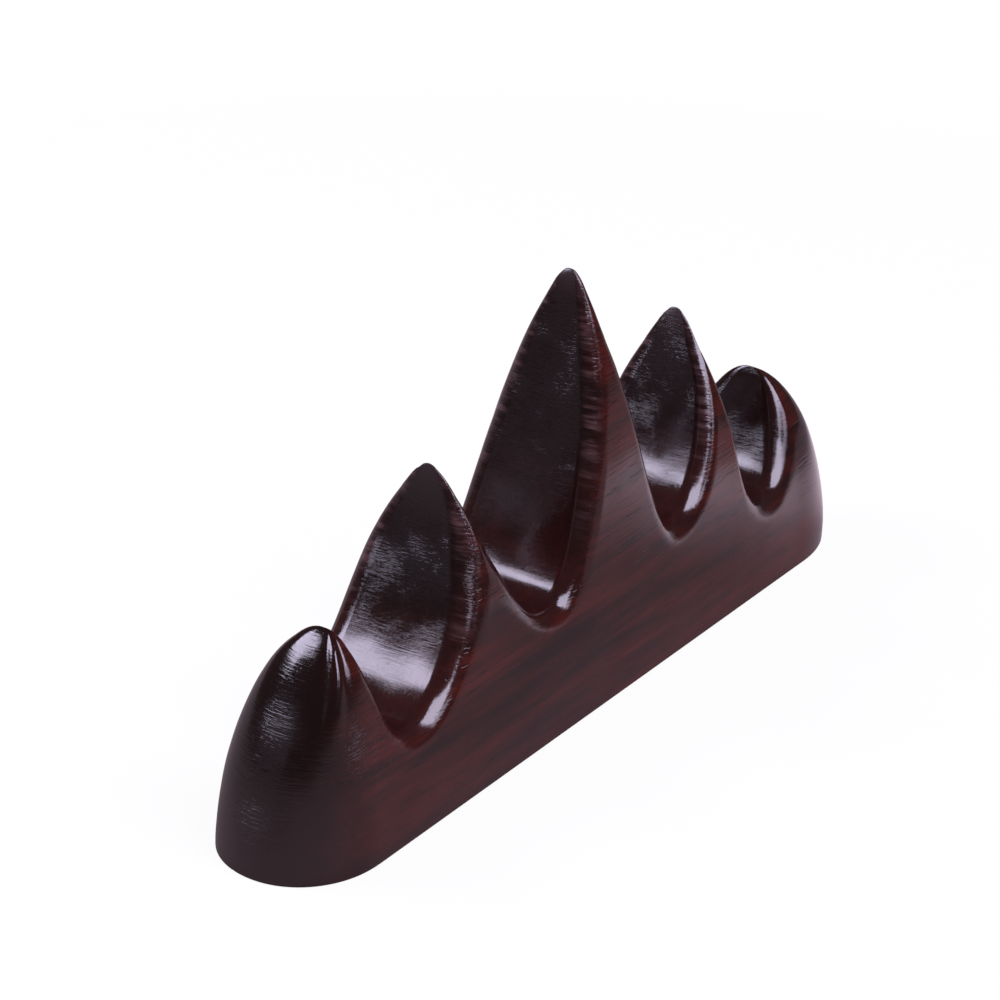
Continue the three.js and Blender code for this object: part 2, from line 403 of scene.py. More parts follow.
    def loft(self, line: Array) -> dict[str, Array]:
        """The peaks and saddles between the two end tips as one grid.

        Formula: at each place of the outline a section rises from the broken base edge with the
        drawn-in half width, turns over the arris and runs level across the top. Nearer to the
        outline than the arris's radius, the face draws in by the radius less the square root of
        radius ** 2 - (radius - distance) ** 2, so that the arris is round across every flank.
        The factor 27 / 4 brings the highest value of the mask nicked to 1.

        Args:
            line: rows of x and z from outline().

        Returns:
            Arrays over stations by columns: points, the masks flank, nicked and upper, and how
            far along the outline each point's nearest place lies.
        """
        knots = np.array([p.place for p in self.peaks])
        x, top = line[:, 0], line[:, 1]
        envelope = eased(x, knots, np.array([p.height for p in self.peaks]))
        lean = eased(x, knots, np.array([p.lean for p in self.peaks]))
        power = eased(x, knots, np.array([p.draw_power for p in self.peaks]))
        middle, end = self.middle_round_power, self.end_round_power
        round_power = eased(x, knots, np.array([end, middle, middle, middle, end]))
        slope = np.abs(np.gradient(top) / (np.abs(np.gradient(x)) + LEAST_STEP))
        slope = self.evened(np.minimum(slope, self.steepest_slope))
        rise = climb(top / envelope, self.arris_range)
        half = self.width / 2.0

        def side(z: Array) -> Array:
            """Half width at the heights z, one row for each station."""
            share = (z - self.base_break) / (envelope - self.base_break)[:, None]
            return half * self.drawn_in(share, power[:, None], round_power[:, None])

        def face(radii: list[float]) -> tuple[Array, ...]:
            """The front or the back face, from the foot up to the top.

            Args:
                radii: the arris's radius at each peak.

            Returns:
                Half widths, heights, turns over the arris, and nearest places.
            """
            wanted = eased(x, knots, np.array(radii))
            radius = (self.saddle_radius + (wanted - self.saddle_radius) * rise)[:, None]
            tall = radius * np.sqrt(1.0 + slope[:, None] ** 2)
            tall = np.minimum(tall, self.tallest_arris * top[:, None])
            low = self.base_break + (top[:, None] - tall - self.base_break) * run
            over = top[:, None] - tall + tall * np.sin(turn)
            z = np.hstack([low, over])
            radius = np.minimum(radius, self.widest_arris * side(z))
            away, place = from_outline(line, z, self.near_stations)
            turned = np.clip(1.0 - away / radius, 0.0, 1.0)
            edge = side(z) - radius * (1.0 - np.sqrt(1.0 - turned**2))
            z = np.hstack([np.zeros((len(x), 1)), z])
            edge = np.hstack([edge[:, :1] - self.base_break, edge])
            turned, place = (np.hstack([a[:, :1], a]) for a in (turned, place))
            return edge, z, turned, place

        run = np.linspace(0.0, 1.0, self.side_rows)
        turn = np.linspace(0.0, math.pi / 2.0, self.arris_rows + 1)[1:]
        front = face([p.front_radius for p in self.peaks])
        back = face([p.back_radius for p in self.peaks])
        across = squarish(np.sin(self.bearings()), self.tip_plan_power)[1:-1]
        reach = np.where(across < 0.0, front[0][:, -1:], back[0][:, -1:])
        level = np.ones(reach.shape)
        tops = (reach * across, top[:, None] * level, level, line_run(line)[:, None] * level)
        parts = zip((-front[0], *front[1:]), tops, back)
        off, z, turned, along = (np.hstack([a, b, c[:, ::-1]]) for a, b, c in parts)
        y = off + lean[:, None] * np.clip(z / envelope[:, None], 0.0, 1.0) ** 2
        flank = turned**2
        inner = eased(x, knots, np.array([0.0, 1.0, 1.0, 1.0, 0.0]))[:, None]
        high = climb(z / envelope[:, None], self.upper_range)
        return {
            "points": self.capped(np.stack([x[:, None] + 0.0 * y, y, z], axis=2)),
            "flank": flank,
            "nicked": 27.0 / 4.0 * flank**2 * (1.0 - flank) * high * inner,
            "upper": high,
            "along": along,
        }

    def evened(self, values: Array) -> Array:
        """A bell-weighted running mean.

        Args:
            values: one number for each station.

        Returns:
            The numbers evened out.
        """
        bell = np.hanning(self.even_stations + 2)[1:-1]
        padded = np.pad(values, self.even_stations // 2, mode="edge")
        return np.convolve(padded, bell / bell.sum(), mode="valid")

    def capped(self, points: Array) -> Array:
        """The points with a sanded, slightly crowned cap on each of the three middle tips.

        Formula: near a tip a point rises by the cap, and sinks by the crown times the square of
        its distance from the middle of the tip. Both fade out with a bell curve.

        Args:
            points: x, y and z in the last axis.

        Returns:
            The same array with its z changed.
        """
        for peak in self.peaks[1:-1]:
            away = np.hypot(points[..., 0] - peak.place, points[..., 2] - peak.height)
            rise = peak.cap * np.exp(-((away / self.cap_reach) ** 2))
            off = (points[..., 1] - peak.lean) ** 2
            points[..., 2] += rise - self.crown * off * np.exp(-((away / self.crown_reach) ** 2))
        return points

    def bearings(self) -> Array:
        """Angles of the domes' meridians, from the front over the end to the back."""
        return np.linspace(-math.pi / 2.0, math.pi / 2.0, self.meridians + 1)

    def dome(self, section: Array, end: End) -> Array:
        """The rounded end beyond the first or the last tip.

        Formula: the half section of the tip is swept round by half a turn. In plan it follows a
        superellipse, whose power grows from the base to the tip, and it reaches out by
        reach * (1 - share ** draw power) ** round power. A soft ridge stands on the left end's
        front corner: ridge height * (1 - away ** 2) ** 2, away as a share of its spread.

        Args:
            section: the front half of the section at the tip, from the base up to the arris's top.
            end: which end of the row.

        Returns:
            Points over rows upwards by meridians from front to back.
        """
        peak = self.peaks[0] if end is End.LEFT else self.peaks[-1]
        z = section[:, 2]
        share = np.clip((z - self.base_break) / (peak.height - self.base_break), 0.0, 1.0)
        reach = self.length / 2.0 - abs(peak.place)
        out = reach * (1.0 - share**self.dome_draw_power) ** self.dome_round_power
        out[0] -= self.base_break
        middle = peak.lean * np.clip(z / peak.height, 0.0, 1.0) ** 2
        power = self.base_plan_power + (self.tip_plan_power - self.base_plan_power) * share
        angle = self.bearings()[None, :]
        cosine = squarish(np.cos(angle), power[:, None])
        sine = squarish(np.sin(angle), power[:, None])
        away = np.abs(np.degrees(angle) + self.ridge_angle) / self.ridge_spread
        rising = climb(share, self.ridge_range) * climb(1.0 - share, (0.0, self.ridge_end_share))
        rising = rising * (end is End.LEFT)
        ridge = self.ridge_height * (1.0 - np.minimum(away, 1.0) ** 2) ** 2 * rising[:, None]
        x = peak.place + end.value * (out[:, None] * cosine + ridge * np.cos(angle))
        y = middle[:, None] + (middle - section[:, 1])[:, None] * sine + ridge * np.sin(angle)
        return np.stack([x, y, z[:, None] + 0.0 * y], axis=2)

    def shell(self) -> tuple[Array, Array, dict[str, Array]]:
        """All points and faces of the closed block.

        Returns:
            Points in millimetres, faces as rows of four indices (the last repeats for a triangle),
            and one array for each point attribute.
        """
        line = self.outline()
        loft = self.loft(line)
        stations, columns = loft["flank"].shape
        between = self.meridians - 1
        half = (columns - between) // 2
        count = stations * columns
        index = np.arange(count).reshape(stations, columns)
        points = [loft["points"].reshape(-1, 3)]
        step = np.linalg.norm(np.diff(loft["points"][:, :, 1:], axis=1), axis=2)
        round_it = np.hstack([np.zeros((stations, 1)), np.cumsum(step, axis=1)])
        round_it -= round_it[:, columns // 2][:, None]
        fields = {name: [loft[name].reshape(-1)] for name in ("flank", "nicked", "upper", "along")}
        fields["dome"] = [np.zeros(count)]
        fields["round"] = [round_it.reshape(-1)]
        underside = np.stack([index[:-1, 0], index[:-1, -1], index[1:, -1], index[1:, 0]], axis=1)
        faces = [quads(index), underside]
        for end in End:
            station = 0 if end is End.LEFT else stations - 1
            swept = self.dome(loft["points"][station, :half], end)
            grid = np.zeros(swept.shape[:2], dtype=int)
            grid[:, 0] = index[station, :half]
            grid[:, -1] = index[station, columns - half:][::-1]
            grid[-1, :] = index[station, half - 1:columns - half + 1]
            inner = (half - 1) * between
            grid[:-1, 1:-1] = count + np.arange(inner).reshape(half - 1, between)
            points.append(swept[:-1, 1:-1].reshape(-1, 3))
            bend = np.sin(np.linspace(0.0, math.pi, self.meridians + 1))[1:-1]
            for name in ("flank", "nicked", "upper"):
                fields[name].append(np.zeros(inner))
            fields["along"].append(np.full(inner, loft["along"][station, -1]))
            fields["dome"].append(np.tile(bend, half - 1))
            fields["round"].append(np.repeat(round_it[station, :half - 1], between))
            faces += [
                quads(grid if end is End.LEFT else grid[:, ::-1]),
                self.dome_underside(grid[0], end),
            ]
            count += inner
        attributes = {name: np.concatenate(parts) for name, parts in fields.items()}
        return np.concatenate(points), np.concatenate(faces), attributes

    def dome_underside(self, ring: Array, end: End) -> Array:
        """Flat faces between the front and back halves of a dome's foot.

        Args:
            ring: indices round the foot, from front to back.
            end: which end of the row.

        Returns:
            Rows of four indices.
        """
        middle = self.meridians // 2
        front, back = ring[:middle + 1], ring[::-1][:middle + 1]
        rows = np.stack([front[:-1], front[1:], back[1:], back[:-1]], axis=1)
        return rows if end is End.LEFT else rows[:, ::-1]

    def build(self) -> bpy.types.Object:
        """Makes the block's mesh, with its hand-worked unevenness, attributes and UV map.

        Returns:
            The block.
        """
        points, faces, attributes = self.shell()
        mesh = bpy.data.meshes.new("rest_block")
        rows = [tuple(dict.fromkeys(row)) for row in faces.tolist()]
        mesh.from_pydata((points * MM).tolist(), [], rows, shade_flat=False)
        mesh.update()
        normals = np.zeros(len(points) * 3)
        mesh.vertex_normals.foreach_get("vector", normals)
        moved = points + normals.reshape(-1, 3) * self.hand_work(points, attributes)[:, None]
        mesh.vertices.foreach_set("co", (moved * MM).reshape(-1))
        mesh.update()
        # Spots on the middle tips: rougher, and with a painted highlight in the wood's colour.
        tips = [Spot((p.place, p.lean, p.height), self.rubbed_and_highlit_reach) for p in self.peaks[1:-1]]
        attributes["torn"] = np.max([spot.share(points) for spot in self.torn_spots], axis=0)
        attributes["rubbed_and_highlit"] = np.max([tip.share(points) for tip in tips], axis=0)
        for name in MASKS:
            layer = mesh.attributes.new(name, "FLOAT", "POINT")
            layer.data.foreach_set("value", attributes[name].astype(np.float32))
        flat = np.stack([attributes["along"], attributes["round"]], axis=1) * MM
        uv = mesh.uv_layers.new(name="surface")
        uv.data.foreach_set("uv", flat[np.concatenate(rows)].reshape(-1).astype(np.float32))
        mesh.set_sharp_from_angle(angle=math.radians(self.sharp_angle))
        return in_scene("rest_block", mesh)

    def hand_work(self, points: Array, attributes: dict[str, Array]) -> Array:
        """How far each point stands out or in from the true form, in millimetres.

        Formula: a slow swell and a shorter one from rasp and abrasive, and small nicks across the
        upper arrises. All of it fades out towards the flat base.

        Args:
            points: the true form.
            attributes: the masks and the surface distances from shell().

        Returns:
            Distance along the normal for each point.
        """
        fade = climb(points[:, 2], self.foot_range)
        swell = sum(wave.depth * ripple(points, wave.length, wave.seed) for wave in self.swells)
        across = self.nick_stretch * attributes["round"]
        track = np.stack([attributes["along"], across, 0.0 * fade], axis=1)
        nicks = ripple(track, self.nicks.length, self.nicks.seed)
        nicks = np.clip(nicks - self.nick_floor, 0.0, 1.0)
        return fade * (swell - self.nicks.depth * nicks * attributes["nicked"])


def quads(grid: Array) -> Array:
    """Four-sided faces over a grid of indices, facing along its first axis crossed with its second.

    Args:
        grid: indices over rows and columns.

    Returns:
        Rows of four indices.
    """
    corners = [grid[:-1, :-1], grid[1:, :-1], grid[1:, 1:], grid[:-1, 1:]]
    return np.stack([c.reshape(-1) for c in corners], axis=1)


class Sketch:
    """A node tree being drawn up: adds nodes, sets their plain values and links them."""

    def __init__(self, tree: Tree) -> None:
        """Starts on an empty tree."""
        self.tree = tree
        tree.nodes.clear()

    def node(self, kind: str, inputs: dict | None = None, **settings: object) -> bpy.types.Node:
        """Adds a node.

        Args:
            kind: Blender's name of the node's type, without "ShaderNode".
            inputs: values or sockets for its inputs, by name or number.
            settings: its own options.

        Returns:
            The node.
        """
        kind = kind if kind.startswith("Node") else "ShaderNode" + kind
        made = self.tree.nodes.new(kind)
        for name, value in settings.items():
            setattr(made, name, value)
        for name, value in (inputs or {}).items():
            if isinstance(value, Socket):
                self.tree.links.new(value, made.inputs[name])
            else:
                made.inputs[name].default_value = value
        return made

    def placed(self, tree: Tree, inputs: dict) -> bpy.types.NodeOutputs:
        """The outputs of a shared node group that is set into this tree with its own values."""
        return self.node("Group", inputs, node_tree=tree).outputs

    def maths(self, operation: str, *values: object, clamp: bool = False) -> Socket:
        """The result of one Math node on numbers or sockets."""
        numbered = dict(enumerate(values))
        return self.node("Math", numbered, operation=operation, use_clamp=clamp).outputs[0]

    # The product, sum, difference and larger one of two numbers or sockets.
    times = partialmethod(maths, "MULTIPLY")
    plus = partialmethod(maths, "ADD")
    less = partialmethod(maths, "SUBTRACT")
    larger = partialmethod(maths, "MAXIMUM")

    def scaled(self, vector: Socket, by: Place) -> Socket:
        """A vector times another, part by part."""
        return self.node("VectorMath", {0: vector, 1: by}, operation="MULTIPLY").outputs[0]

    def turned(self, vector: Socket, axis: str, angle: float) -> Socket:
        """A vector turned about an axis by an angle in degrees."""
        spin = {"Vector": vector, "Angle": math.radians(angle)}
        return self.node("VectorRotate", spin, rotation_type=axis + "_AXIS").outputs[0]

    def ramp(self, value: Socket, span: Range) -> Socket:
        """A value eased from 0 at the span's start to 1 at its end."""
        spread = {"Value": value, "From Min": span[0], "From Max": span[1]}
        return self.node("MapRange", spread, interpolation_type="SMOOTHSTEP").outputs["Result"]

    def noise(self, vector: Socket, scale: object, detail: float, rough: float) -> Socket:
        """Noise, 0 to 1, over a vector."""
        parts = {"Vector": vector, "Scale": scale, "Detail": detail, "Roughness": rough}
        return self.node("TexNoise", parts).outputs[0]

    def mixed(self, share: object, first: object, second: object) -> Socket:
        """A colour between two others."""
        made = self.node("Mix", {0: share, 6: first, 7: second}, data_type="RGBA")
        return made.outputs[2]


def blank_material(name: str) -> tuple[bpy.types.Material, Sketch]:
    """Starts a material.

    Args:
        name: its name.

    Returns:
        The material, and the sketch of its empty tree.
    """
    material = bpy.data.materials.new(name)
    material.use_nodes = True
    return material, Sketch(material.node_tree)


def group(name: str, inputs: dict[str, str], outputs: tuple[str, ...]) -> Sketch:
    """Starts a shader node group with named sockets.

    Args:
        name: its name.
        inputs: socket kinds by name.
        outputs: names of its outputs, which are all plain values.

    Returns:
        The sketch of the group's tree.
    """
    tree = bpy.data.node_groups.new(name, "ShaderNodeTree")
    for socket, kind in inputs.items():
        tree.interface.new_socket(socket, in_out="INPUT", socket_type="NodeSocket" + kind)
    for socket in outputs:
        tree.interface.new_socket(socket, in_out="OUTPUT", socket_type="NodeSocketFloat")
    return Sketch(tree)


@dataclass(frozen=True)
class LongGrain:
    """The wood's figure: broad streaks, fine fibres and open pores, all drawn out along X.

    The scales are noise cells for each metre along X and across it. The ranges are the noise
    values between which a part of the figure rises from 0 to 1.
    """

    wander_scale: Place = (14.0, 60.0, 60.0)
    wander_reach: Place = (0.0, 0.004, 0.004)
    narrow_stretch: Place = (0.09, 1.0, 1.0)
    narrow_share: float = 0.55
    broad_scale: Place = (16.0, 85.0, 85.0)
    broad_share: float = 0.45
    fibre_scale: Place = (90.0, 2600.0, 2600.0)
    pore_scale: Place = (150.0, 2300.0, 2300.0)
    streak_range: Range = (0.36, 0.64)
    fibre_range: Range = (0.3, 0.7)
    pore_range: Range = (0.66, 0.74)

    def build(self) -> Tree:
        """Makes the node group, with the outputs Streak, Fibre and Pore.

        Returns:
            The group's tree.
        """
        inputs = {"Place": "Vector", "Streak Scale": "Float"}
        s = group("long_grain", inputs, ("Streak", "Fibre", "Pore"))
        given = s.node("NodeGroupInput").outputs
        place = given["Place"]
        wander = s.node("TexNoise", {"Vector": s.scaled(place, self.wander_scale), "Scale": 1.0})
        drift = s.scaled(wander.outputs["Color"], self.wander_reach)
        bent = s.node("VectorMath", {0: place, 1: drift}, operation="ADD").outputs[0]
        drawn = s.scaled(bent, self.narrow_stretch)
        narrow = s.noise(drawn, given["Streak Scale"], detail=3.0, rough=0.6)
        broad = s.noise(s.scaled(bent, self.broad_scale), 1.0, detail=1.0, rough=0.5)
        streak = s.plus(s.times(narrow, self.narrow_share), s.times(broad, self.broad_share))
        fibre = s.noise(s.scaled(bent, self.fibre_scale), 1.0, detail=2.0, rough=0.6)
        pores = s.noise(s.scaled(bent, self.pore_scale), 1.0, detail=1.0, rough=0.4)
        figure = {
            "Streak": s.ramp(streak, self.streak_range),
            "Fibre": s.ramp(fibre, self.fibre_range),
            "Pore": s.ramp(pores, self.pore_range),
        }
        s.node("NodeGroupOutput", figure)
        return s.tree


@dataclass(frozen=True)
class AbrasiveMarks:
    """Fine lines left by the abrasive, and the patches where they are strong.

    The lines follow the vector Drawn, which is the place drawn out along them.
    """

    patch_scale: float = 130.0
    line_range: Range = (0.36, 0.68)
    patch_range: Range = (0.4, 0.75)

    def build(self) -> Tree:
        """Makes the node group, with the outputs Lines and Patches.

        Returns:
            The group's tree.
        """
        inputs = {"Place": "Vector", "Drawn": "Vector", "Line Scale": "Float"}
        s = group("abrasive_marks", inputs, ("Lines", "Patches"))
        given = s.node("NodeGroupInput").outputs
        lines = s.noise(given["Drawn"], given["Line Scale"], detail=3.0, rough=0.62)
        patches = s.noise(given["Place"], self.patch_scale, detail=2.0, rough=0.5)
        marks = {
            "Lines": s.ramp(lines, self.line_range),
            "Patches": s.ramp(patches, self.patch_range),
        }
        s.node("NodeGroupOutput", marks)
        return s.tree


@dataclass(frozen=True)
class WaxedHardwood:
    """Very dark red-brown hardwood, sanded and waxed: the whole carved surface.

    The steep flanks and the domes show darker end grain. The lowest part is paler. The tips carry
    a painted highlight, a paler colour standing in for the light they catch. Scratches cross the
    flanks, file marks with painted glints cross the upper arrises, and lengthwise marks are faint
    on faces and stronger on domes and torn spots. The shares say how strongly a layer of colour
    shows, and the depths how strongly a mark stands in the bump.
    """

    name: str = "waxed_hardwood"
    heart: Colour = (0.0170, 0.0052, 0.0048)
    streak: Colour = (0.106, 0.0145, 0.0090)
    pore: Colour = (0.006, 0.003, 0.003)
    end_grain: Colour = (0.0070, 0.0028, 0.0026)
    # Pale tone: paler foot, painted highlight on the tips and painted glints on the file marks.
    wear_and_highlight: Colour = (0.125, 0.066, 0.066)
    streak_scale: float = 420.0
    cross_scale: float = 5200.0
    slanted_scale: float = 3600.0
    file_scale: float = 900.0
    crosswise: Place = (1.0, 0.055, 1.0)
    lengthwise: Place = (0.06, 0.06, 1.0)
    slant: float = 9.0
    foot_heights: Range = (0.001, 0.018)
    flank_calm: float = 0.8
    dome_calm: float = 1.2
    filed_power: float = 2.0
    streak_share: float = 0.8
    gap_share: float = 0.45
    pore_share: float = 0.7
    end_share: float = 0.85
    foot_share: float = 0.16
    # Share of the pale tone on the tips, a painted highlight.
    tip_share: float = 0.2
    # Share of the pale tone on the file marks, painted glints.
    filed_glint_share: float = 0.8
    least_scratch: float = 0.08
    patch_scratch: float = 0.45
    low_scratch: float = 0.15
    face_scratch: float = 0.12
    dome_scratch: float = 0.3
    torn_depth: float = 0.7
    filed_depth: float = 0.5
    fibre_depth: float = 0.1
    pore_depth: float = 0.25
    bump_strength: float = 0.6
    bump_distance: float = 0.00012
    roughness: float = 0.10
    scratch_roughness: float = 0.12
    worn_roughness: float = 0.22
    fibre_roughness: float = 0.05
    index: float = 1.56
    wax_weight: float = 0.2
    wax_roughness: float = 0.12

    def build(self, grain: Tree, marks: Tree) -> bpy.types.Material:
        """Makes the material.

        Args:
            grain: the group from LongGrain.
            marks: the group from AbrasiveMarks.

        Returns:
            The material.
        """
        material, s = blank_material(self.name)
        place = s.node("TexCoord").outputs["Object"]
        surface = s.node("UVMap", uv_map="surface").outputs["UV"]
        mask = {name: s.node("Attribute", attribute_name=name).outputs["Fac"] for name in MASKS}
        wood = s.placed(grain, {"Place": place, "Streak Scale": self.streak_scale})
        crossing = {"Place": surface, "Drawn": s.scaled(surface, self.crosswise)}
        cross = s.placed(marks, {**crossing, "Line Scale": self.cross_scale})
        files = s.placed(marks, {**crossing, "Line Scale": self.file_scale})
        drawn = s.scaled(s.turned(place, "Y", self.slant), self.lengthwise)
        lengthwise = {"Place": place, "Drawn": drawn, "Line Scale": self.slanted_scale}
        slanted = s.placed(marks, lengthwise)
        plain = s.larger(mask["flank"], s.times(mask["dome"], self.dome_calm), clamp=True)
        calm = s.less(1.0, s.times(plain, self.flank_calm))
        filed = s.times(mask["nicked"], s.maths("POWER", files["Lines"], self.filed_power))
        patchy = s.plus(self.least_scratch, s.times(cross["Patches"], self.patch_scratch))
        higher = s.plus(self.low_scratch, s.times(mask["upper"], 1.0 - self.low_scratch))
        scratched = s.times(mask["flank"], s.times(patchy, higher))
        on_dome = s.times(mask["dome"], s.times(slanted["Patches"], self.dome_scratch))
        marked = s.larger(s.times(slanted["Patches"], self.face_scratch), on_dome)
        marked = s.larger(marked, s.times(mask["torn"], self.torn_depth))
        level = s.plus(s.times(cross["Lines"], scratched), s.times(slanted["Lines"], marked))
        level = s.plus(level, s.times(filed, self.filed_depth))
        fibrous = s.times(wood["Fibre"], self.fibre_depth)
        fibrous = s.less(fibrous, s.times(wood["Pore"], self.pore_depth))
        relief = {
            "Height": s.plus(level, s.times(fibrous, calm)),
            "Strength": self.bump_strength,
            "Distance": self.bump_distance,
        }
        # Torn spots and the middle tips are rougher; the tips also carry a painted highlight in the
        # colour.
        wear_and_highlight = s.larger(mask["torn"], mask["rubbed_and_highlit"])
        rough = s.plus(self.roughness, s.times(scratched, self.scratch_roughness))
        rough = s.plus(rough, s.times(wear_and_highlight, self.worn_roughness))
        rough = s.plus(rough, s.times(wood["Fibre"], self.fibre_roughness))
        finish = {
            "Base Color": self.colour(s, place, wood, mask, calm, filed),
            "Roughness": rough,
            "IOR": self.index,
            "Coat Weight": s.times(s.less(1.0, scratched), self.wax_weight),
            "Coat Roughness": self.wax_roughness,
            "Normal": s.node("Bump", relief).outputs["Normal"],
        }
        shader = s.node("BsdfPrincipled", finish)
        s.node("OutputMaterial", {"Surface": shader.outputs[0]})
        return material

    def colour(
        self,
        s: Sketch,
        place: Socket,
        wood: bpy.types.NodeOutputs,
        mask: dict[str, Socket],
        calm: Socket,
        filed: Socket,
    ) -> Socket:
        """The wood's colour, layer over layer, with a painted highlight on the tips and painted
        glints on the file marks.

        Args:
            s: the material's node tree.
            place: place on the object.
            wood: outputs of the grain group.
            mask: the mesh's masks by name.
            calm: how little of the figure shows on flanks and domes.
            filed: where the file marks are.

        Returns:
            The colour.
        """
        shown = s.times(wood["Streak"], s.times(calm, self.streak_share))
        steep = s.larger(s.times(mask["flank"], mask["upper"]), mask["dome"])
        height = s.node("SeparateXYZ", {0: place}).outputs["Z"]
        foot = s.less(1.0, s.ramp(height, self.foot_heights))
        # Paler towards the bottom, and a painted highlight on the middle tips.
        pale_foot_and_tip_highlight = s.larger(s.times(foot, self.foot_share), s.times(mask["rubbed_and_highlit"], self.tip_share))
        layers = (
            (s.times(s.less(1.0, wood["Fibre"]), self.gap_share), self.heart),
            (s.times(wood["Pore"], self.pore_share), self.pore),
            (s.times(steep, self.end_share), self.end_grain),
            (pale_foot_and_tip_highlight, self.wear_and_highlight),
            # Painted glints on the file marks.
            (s.times(filed, self.filed_glint_share), self.wear_and_highlight),
        )
        colour = s.mixed(shown, (*self.heart, 1.0), (*self.streak, 1.0))
        for share, tone in layers:
            colour = s.mixed(share, colour, (*tone, 1.0))
        return colour


@dataclass(frozen=True)
class BareHardwood:
    """The unwaxed underside: the same wood, flatted on abrasive paper and a little greyer."""

    name: str = "bare_hardwood"
    heart: Colour = (0.022, 0.013, 0.012)
    streak: Colour = (0.075, 0.030, 0.024)
    pore: Colour = (0.008, 0.005, 0.005)
    pore_share: float = 0.8
    streak_scale: float = 420.0
    line_scale: float = 3000.0
    line_angle: float = 80.0
    crosswise: Place = (1.0, 0.055, 1.0)
    bump_strength: float = 0.5
    bump_distance: float = 0.00008
    roughness: float = 0.55
    patch_roughness: float = 0.12

    def build(self, grain: Tree, marks: Tree) -> bpy.types.Material:
        """Makes the material.

        Args:
            grain: the group from LongGrain.
            marks: the group from AbrasiveMarks.

        Returns:
            The material.
        """
        material, s = blank_material(self.name)
        place = s.node("TexCoord").outputs["Object"]
        wood = s.placed(grain, {"Place": place, "Streak Scale": self.streak_scale})
        drawn = s.scaled(s.turned(place, "Z", self.line_angle), self.crosswise)
        flatted = s.placed(marks, {"Place": place, "Drawn": drawn, "Line Scale": self.line_scale})
        colour = s.mixed(wood["Streak"], (*self.heart, 1.0), (*self.streak, 1.0))
        colour = s.mixed(s.times(wood["Pore"], self.pore_share), colour, (*self.pore, 1.0))
        relief = {
            "Height": s.plus(flatted["Lines"], wood["Fibre"]),
            "Strength": self.bump_strength,
            "Distance": self.bump_distance,
        }
        finish = {
            "Base Color": colour,
            "Roughness": s.plus(self.roughness, s.times(flatted["Patches"], self.patch_roughness)),
            "Normal": s.node("Bump", relief).outputs["Normal"],
        }
        shader = s.node("BsdfPrincipled", finish)
        s.node("OutputMaterial", {"Surface": shader.outputs[0]})
        return material


@dataclass(frozen=True)
class Softbox:
    """One soft lamp: bearing and elevation in degrees, size, power, and distance in metres."""

    name: str
    azimuth: float
    elevation: float
    width: float
    height: float
    watts: float
    distance: float = 1.0
    tint: Colour = (0.83, 0.77, 1.0)


